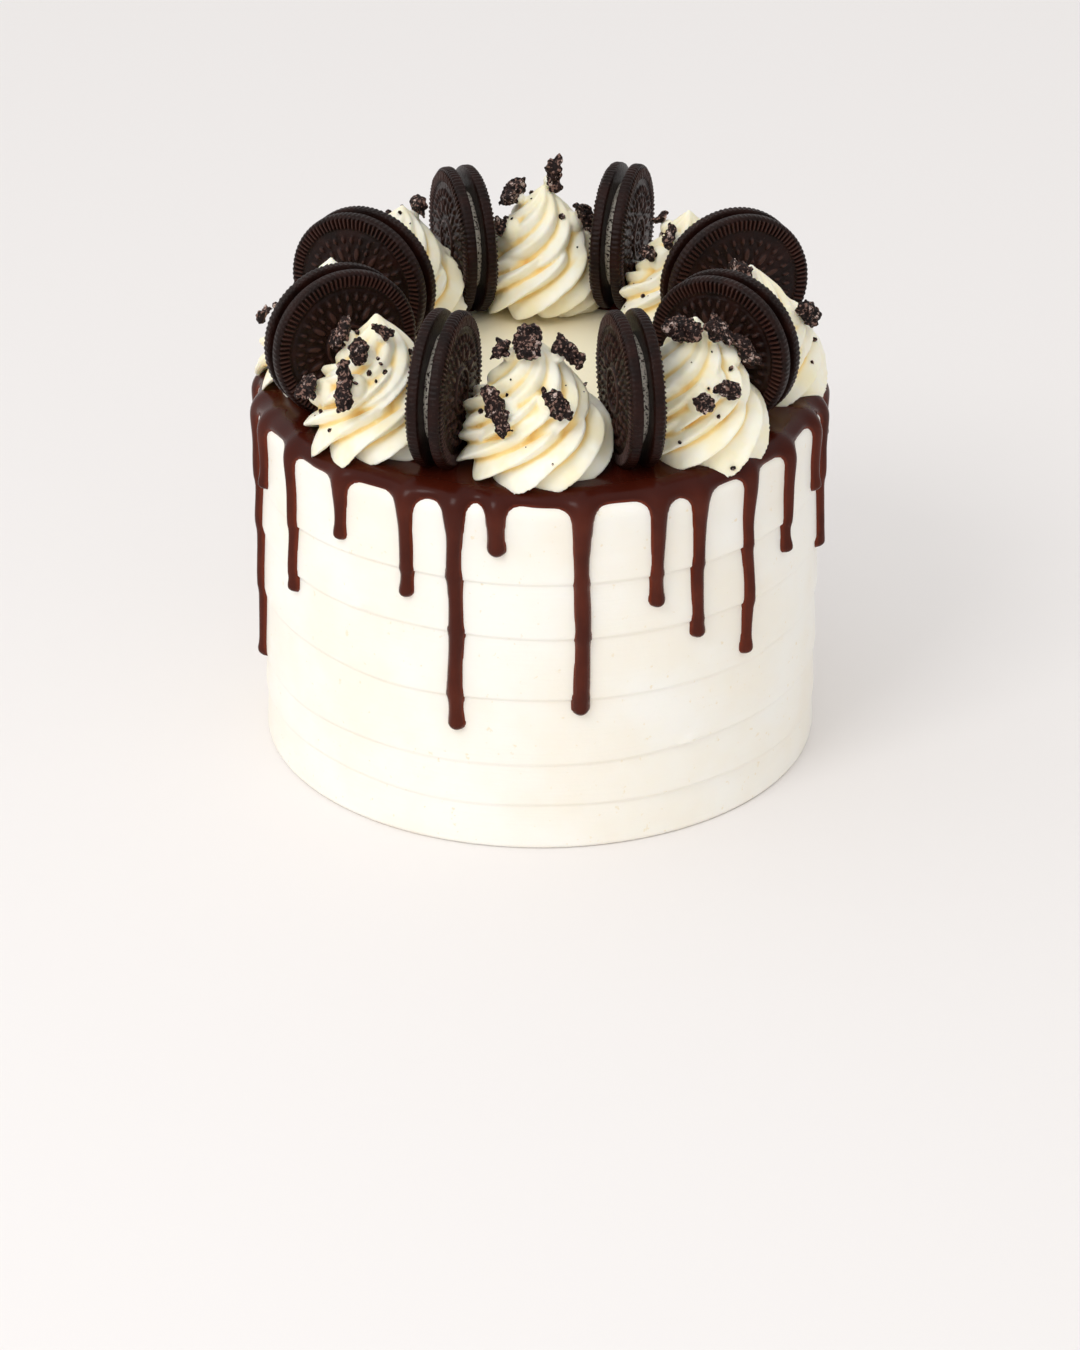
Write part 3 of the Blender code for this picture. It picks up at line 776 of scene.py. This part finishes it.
def middleOf(node):
    return sum((node.matrix_world @ Vector(corner) for corner in node.bound_box), Vector()) / 8 / mm


def creamBeds(number):
    # a ball of cream under each broken piece that lies on the swirl, so that none hangs over a groove
    axis = Vector(swirlCentre(number))
    found = []
    for name in chunkNodes(f"chunk_{number + 1}_"):
        middle = middleOf(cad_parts[name])
        below = axis.z + piping["top"][-1][0] - middle.z
        radius, sunk = [part * min(max(below / piping["bedFade"], 0.5), 1) for part in piping["bed"]]
        inwards = Vector((axis.x, axis.y, middle.z - 8)) - middle
        place = middle + inwards.normalized() * (radius + sunk)
        clearSelection()
        bpy.ops.mesh.primitive_uv_sphere_add(
            segments=24, ring_count=12, radius=radius * mm, location=place * mm
        )
        found.append(bpy.context.object)
    return found


def joinPieces(piece, others):
    pick(piece)
    for other in others:
        other.select_set(True)
    bpy.ops.object.join()


def ribShape(phase):
    # from 0 in a groove to 1 on a crest; each rib leans over the one beside it
    share = phase % 1
    rise = np.where(share < piping["lean"], share / piping["lean"], (1 - share) / (1 - piping["lean"]))
    return 0.3 * np.sin(rise * math.pi / 2) + 0.7 * rise ** 0.9


def makeTop(number, turn, size):
    # the last of the cream: a ribbed cone drawn up to a leaning peak, standing in the coil
    dice = random.Random(piping["topSeed"] + number)
    heights, radii = zip(*piping["top"])
    height = np.linspace(heights[0], heights[-1], piping["topRows"])
    radius = softened(np.interp(height, heights, radii), piping["topSoften"], mode="edge")
    psi = np.linspace(0, 2 * math.pi, piping["around"] + 1)
    share = (height - heights[0]) / (heights[-1] - heights[0])
    wind = math.radians(piping["topTwist"]) * share + math.radians(turn)
    rise = ribShape(piping["topRibs"] * (wind[:, None] - psi) / (2 * math.pi))
    reach = radius[:, None] * (1 - piping["topDepth"] * (1 - rise))
    lean = onBearing(dice.uniform(0, 6.28), piping["topLean"] * share ** 3, 0)
    points = (onBearing(psi, reach, height[:, None]) + lean[:, None]) * size + swirlCentre(number)
    ends = [np.tile(row.mean(0), (1, len(psi), 1)) for row in (points[0], points[-1])]
    top = sheetOf("swirlTop", np.concatenate([ends[0], points, ends[1]]))
    sealMesh(top)
    return top


def makeSwirl(number):
    turn, size = swirls[number][2:]
    centre = swirlCentre(number)
    points = starRope(turn + 180, size, piping["ropeSeed"] + number)
    shape = points.shape
    points = points.reshape(-1, 3)
    radius = np.hypot(points[:, 0] + centre[0], points[:, 1] + centre[1])
    points[:, 2] = np.maximum(points[:, 2], -piping["sunk"] * (1 - ease(radius, 51, 56)))
    points += centre
    beyond = np.clip(radius - flatRadius, 0, 5.6)
    drop = coat["rimRound"] - np.sqrt(coat["rimRound"] ** 2 - beyond ** 2)
    points[:, 2] -= drop * (1 - ease(points[:, 2] - centre[2], 0, 14))
    ends = [np.tile(row.mean(0), (shape[1], 1)) for row in (points[:shape[1]], points[-shape[1]:])]
    rows = np.concatenate([ends[0], points, ends[1]]).reshape(shape[0] + 2, shape[1], 3)
    piece = sheetOf(f"pipedSwirl_{number + 1}", rows)
    sealMesh(piece)
    joinPieces(piece, [makeTop(number, turn, size)] + creamBeds(number))
    applyModifier(piece, "REMESH", mode="VOXEL", voxel_size=piping["voxel"] * mm, adaptivity=0)
    applyModifier(piece, "SMOOTH", factor=0.5, iterations=2)
    grainSize, grainHeight = piping["grain"]
    roughen(piece, grain(f"creamGrain_{number}", "CLOUDS", grainSize, noise_depth=1), grainHeight)
    pressIn(piece, Vector(centre))
    # how deep each point lies in a groove, for the painted shade in the cream's colour
    setAttribute(piece, "groove", cavity(piece, piping["cavityRounds"]))
    return finishPiece(piece, pipedCream, [f"swirl_{number + 1}"])


def pressIn(piece, centre):
    # flattens the cream against each biscuit that stands in it
    points = readPoints(piece)
    half = biscuit["filling"] / 2 + biscuit["wafer"] - 0.1
    for number in range(len(biscuits)):
        stand = standOf(number)
        inverse = np.array(stand.inverted())
        side = 1 if (stand.inverted() @ centre).z > 0 else -1
        local = points @ inverse[:3, :3].T + inverse[:3, 3]
        inside = biscuit["radius"] - np.hypot(local[:, 0], local[:, 1])
        push = np.clip(half - local[:, 2] * side, 0, None) * ease(inside, -1.5, 0.5)
        push[local[:, 2] * side < -half - 6] = 0
        local[:, 2] += push * side
        forward = np.array(stand)
        points = local @ forward[:3, :3].T + forward[:3, 3]
    movePoints(piece, points)


print("piped cream")
creamPieces = [makeSwirl(number) for number in range(len(swirls))]


# A sandwich biscuit: two stamped wafers with a ridged rim, and white filling set back between them.
waferOutline = (
    [(0, 0), (8, 0), (15, 0), (20.2, 0), (21.8, 0.05), (22.3, 0.3), (22.5, 0.8), (22.5, 1.5), (22.5, 2.2)]
    + [(22.35, 2.75), (22.05, 3.1), (21.65, 3.25), (21.4, 3.3)]
    + [(21.2 - 0.46 * step, 3.4) for step in range(7)]
    + [(18.15, 3.3), (17.8, 3.1), (17.45, 3.05), (17.1, 3.15), (16.75, 3.3)]
    + [(16.4 - 0.44 * step, 3.38) for step in range(7)]
    + [(13.3 - 0.52 * step, 3.42) for step in range(12)]
    + [(7.0 - 0.5 * step, 3.44) for step in range(14)]
    + [(0, 3.44)]
)
motif = {
    "dots": 32, "dotRing": 14.9, "dotLength": 1.25, "dotWidth": 0.6,
    "petals": 12, "petalMiddle": 10.6, "petalLength": 2.5, "petalWidth": 0.95,
    "betweenPetals": ((11.9, 1.1, 0.6), (8.9, 0.9, 0.5)),  # ring, length and width of each row of ovals
    "ring": 6.2, "ringWidth": 0.45,
    "innerDots": 8, "innerRing": 3.7, "innerDot": 0.8,
    "height": 0.75,
    "ridge": 0.85,
    "ridgeBand": (18.0, 18.6, 21.1, 21.7),  # the comb of the rim rises and falls between these radii
    "rimNotch": 0.11,
    "crumb": ((0.14, 1.3, 6), (0.12, 3.5, 7)),  # height, size, seed
}


def spot(radius, angle, count, ring, long, wide, turn=0.0):
    # 1 on each of a ring of oval spots, and 0 between them
    step = 2 * math.pi / count
    off = ((angle - turn * step) / step + 0.5) % 1 - 0.5
    away = np.hypot((radius - ring) / long, off * step * radius / wide)
    return 1 - ease(away, 0.55, 1.15)


def makeWafer():
    piece = spinLoop("wafer", waferOutline, biscuit["steps"])
    points = readPoints(piece)
    radius, angle = np.hypot(points[:, 0], points[:, 1]), np.arctan2(points[:, 1], points[:, 0])
    face = points[:, 2] > 2.5
    comb = np.clip(1.6 * np.cos(biscuit["ridges"] * angle + math.pi / 4), -1, 1)
    first, second, third, last = motif["ridgeBand"]
    band = ease(radius, first, second) * (1 - ease(radius, third, last))
    spots = [
        (motif["dots"], motif["dotRing"], motif["dotLength"], motif["dotWidth"]),
        (motif["petals"], motif["petalMiddle"], motif["petalLength"], motif["petalWidth"]),
        (motif["innerDots"], motif["innerRing"], motif["innerDot"], motif["innerDot"]),
    ]
    spots += [(motif["petals"], *row, 0.5) for row in motif["betweenPetals"]]
    pattern = np.maximum(
        1 - ease(np.abs(radius - motif["ring"]), 0.3, motif["ringWidth"] + 0.3), 1 - ease(radius, 0.7, 1.6)
    )
    for row in spots:
        pattern = np.maximum(pattern, spot(radius, angle, *row))
    raised = np.maximum(band * (0.5 + 0.5 * comb), pattern)
    points[face, 2] += (motif["ridge"] * band * comb * 0.5 + motif["height"] * pattern)[face]
    rim = (radius > 21.9) & (points[:, 2] > 0.6) & (points[:, 2] < 3.2)
    shrink = np.where(rim, 1 - motif["rimNotch"] * (1 - comb) / radius.clip(1), 1)
    points[:, :2] *= shrink[:, None]
    crumb = sum(stand * lumps(points, size, seed) for stand, size, seed in motif["crumb"])
    points[face, 2] += crumb[face]
    movePoints(piece, points)
    # raised marks the stamped motif and ridges, which get the painted highlight
    setAttribute(piece, "raised", np.where(face, raised, 0.2))
    return piece


def placeCopy(master, name, matrix):
    # the matrix is in mm
    piece = bpy.data.objects.new(name, master.data.copy())
    piece.data.name = name
    bpy.context.scene.collection.objects.link(piece)
    scaled = matrix.copy()
    scaled.translation = scaled.translation * mm
    piece.data.transform(scaled)
    return piece


def makeBiscuits():
    wafer = makeWafer()
    half = biscuit["filling"] / 2 + 0.1
    edge = biscuit["fillingRadius"]
    fill = spinLoop("fill", [
        (0, -half), (edge * 0.6, -half), (edge - 0.7, -half), (edge - 0.15, -half * 0.6), (edge, 0),
        (edge - 0.15, half * 0.6), (edge - 0.7, half), (edge * 0.6, half), (0, half),
    ], biscuit["fillingSteps"])
    wobble, lumpSize, lumpSeed = biscuit["fillingWobble"]
    dice = random.Random(biscuit["turnSeed"])
    for number in range(len(biscuits)):
        stand = standOf(number)
        for side, turned, name in ((1, 0, "right"), (-1, 180, "left")):
            spin = Matrix.Rotation(dice.uniform(0, 6.28), 4, "Z")
            flip = Matrix.Rotation(math.radians(turned), 4, "X")
            place = stand @ flip @ Matrix.Translation((0, 0, biscuit["filling"] / 2)) @ spin
            piece = placeCopy(wafer, f"wafer_{name}Side_{number + 1}", place)
            finishPiece(piece, bakedWafer, [f"wafer_{name}_{number + 1}"], 50)
        spin = Matrix.Rotation(dice.uniform(0, 6), 4, "Z")
        piece = placeCopy(fill, f"sugarFilling_{number + 1}", stand @ spin)
        points = readPoints(piece)
        middle = np.array(stand.translation)
        swell = 1 + wobble * lumps(points, lumpSize, lumpSeed + number)
        movePoints(piece, middle + (points - middle) * swell[:, None])
        finishPiece(piece, sugarFilling, [f"filling_{number + 1}"], 40)
    for master in (wafer, fill):
        bpy.data.objects.remove(master, do_unlink=True)


print("biscuits")
makeBiscuits()


# Broken biscuit scattered over the cream: each piece keeps the CAD piece's form, with a torn, open crumb.
broken = {"voxel": 0.3, "rounding": 10, "tearSize": 4.2, "tear": 3.0, "crumbSize": 2.0, "crumb": 1.3}


def makeBroken():
    tears = grain("tears", "CLOUDS", broken["tearSize"], noise_depth=2)
    crumbs = grain("openCrumb", "VORONOI", broken["crumbSize"])
    for nodeName in chunkNodes("chunk_"):
        piece = bpy.data.objects.new("brokenBiscuit" + nodeName[5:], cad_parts[nodeName].data.copy())
        bpy.context.scene.collection.objects.link(piece)
        sealMesh(piece, 0.01)
        applyModifier(piece, "REMESH", mode="VOXEL", voxel_size=broken["voxel"] * mm, adaptivity=0)
        applyModifier(piece, "SMOOTH", factor=0.5, iterations=broken["rounding"])
        roughen(piece, tears, broken["tear"], 0.45)
        roughen(piece, crumbs, -broken["crumb"], 0.3)
        applyModifier(piece, "SMOOTH", factor=0.4, iterations=1)
        finishPiece(piece, brokenWafer, [nodeName], 60)


print("broken biscuit")
makeBroken()


# Loose crumbs that fell on the cream and the chocolate, as one mesh at their true sizes.
loose = {
    "onEachSwirl": 2,
    "spread": 17,
    "byPiece": 3,
    "pieceReach": 9,
    "sizes": (0.22, 1.25),
    "mostlySmall": 1.6,
    "lift": 0.3,  # how far its middle lies over the cream, as a share of its size
    "steepest": 0.15,  # no crumb stays where the cream slopes more than this
    "seed": 33,
}


def crumbPlaces(dice):
    # points on the cream, with its slope there, under starts scattered over the swirls and round the pieces
    places = []
    for number, piece in enumerate(creamPieces):
        corners = [vertex.co for vertex in piece.data.vertices]
        tree = BVHTree.FromPolygons(corners, [face.vertices[:] for face in piece.data.polygons])
        starts = []
        for _ in range(loose["onEachSwirl"]):
            away = loose["spread"] * dice.random() ** 0.7
            starts.append(swirlCentre(number) + onBearing(dice.uniform(0, 2 * math.pi), away, 100))
        for name in chunkNodes(f"chunk_{number + 1}_"):
            for _ in range(loose["byPiece"]):
                away = loose["pieceReach"] * dice.uniform(0.35, 1)
                middle = np.array(middleOf(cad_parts[name]))
                starts.append(middle + onBearing(dice.uniform(0, 2 * math.pi), away, 100))
        for start in starts:
            found = tree.ray_cast(Vector(start) * mm, Vector((0, 0, -1)))
            if found[0] is not None and found[1].z > loose["steepest"]:
                places.append((found[0] / mm, found[1]))
    return places


def makeCrumbs():
    dice = random.Random(loose["seed"])
    clearSelection()
    bpy.ops.mesh.primitive_ico_sphere_add(subdivisions=1, radius=mm)
    master = bpy.context.object
    roughen(master, grain("crumbGrain", "CLOUDS", 0.8), 0.9)
    least, most = loose["sizes"]
    made = []
    for place, normal in crumbPlaces(dice):
        size = least + (most - least) * dice.random() ** loose["mostlySmall"]
        turn = Euler([dice.uniform(0, 6.28) for _ in range(3)]).to_matrix().to_4x4()
        shape = Matrix.Diagonal((size, size * dice.uniform(0.6, 1), size * dice.uniform(0.5, 0.9), 1))
        lift = Matrix.Translation(place + normal * size * loose["lift"])
        made.append(placeCopy(master, "crumb", lift @ turn @ shape))
    bpy.data.objects.remove(master, do_unlink=True)
    joinPieces(made[0], made[1:])
    made[0].name = "looseCrumbs"
    return finishPiece(made[0], brokenWafer, sharp=40)


print("crumbs")
makeCrumbs()


# Plain floor, soft studio light and the camera at the photograph's angle.
studio = {
    "floor": "#EFEBE9",
    "world": ((-0.45, -0.35, 0.82), 0.6, 1.1),  # brightest direction, least and most light
    "lights": (  # place, target, size, power
        ((-0.55, -0.75, 1.0), (0, 0, 0.08), 0.45, 4.0),
    ),
    "cameraPlace": (0, -1.1084, 0.6034),
    "cameraPitch": 61.95,
    "lens": 108.43,
}


def makeFloor():
    clearSelection()
    bpy.ops.mesh.primitive_plane_add(size=8)
    floor = bpy.context.object
    floor.name = "floor"
    made, tree, shader, place = startMaterial("matt_floor", Roughness=0.8)
    shader.inputs["Base Color"].default_value = linear(studio["floor"])
    floor.data.materials.append(made)


def makeLights():
    for number, (place, target, size, power) in enumerate(studio["lights"]):
        bpy.ops.object.light_add(type="AREA", location=place)
        light = bpy.context.object
        light.name = f"softbox_{number + 1}"
        light.data.size = size
        light.data.energy = power
        light.rotation_euler = (Vector(target) - Vector(place)).to_track_quat("-Z", "Y").to_euler()
    world = bpy.data.worlds.new("paleRoom")
    bpy.context.scene.world = world
    world.use_nodes = True
    tree = world.node_tree
    brightest, least, most = studio["world"]
    around = addNode(tree, "TexCoord")
    toward = addNode(
        tree, "VectorMath", {"operation": "DOT_PRODUCT"}, {1: Vector(brightest).normalized()},
        {0: (around, "Generated")},
    )
    light = addNode(
        tree, "MapRange", values={"From Min": -0.2, "From Max": 1, "To Min": least, "To Max": most},
        links={"Value": (toward, "Value")},
    )
    back = tree.nodes["Background"]
    back.inputs["Color"].default_value = linear("#FFFFFF")
    tree.links.new(light.outputs[0], back.inputs["Strength"])


def makeCamera():
    pitch = math.radians(studio["cameraPitch"])
    bpy.ops.object.camera_add(location=studio["cameraPlace"], rotation=(pitch, 0, 0))
    camera = bpy.context.object
    camera.data.lens = studio["lens"]
    camera.data.sensor_width = 36
    camera.data.sensor_fit = "AUTO"
    bpy.context.scene.camera = camera


print("studio")
makeFloor()
makeLights()
makeCamera()
bpy.context.scene.view_settings.view_transform = "Standard"
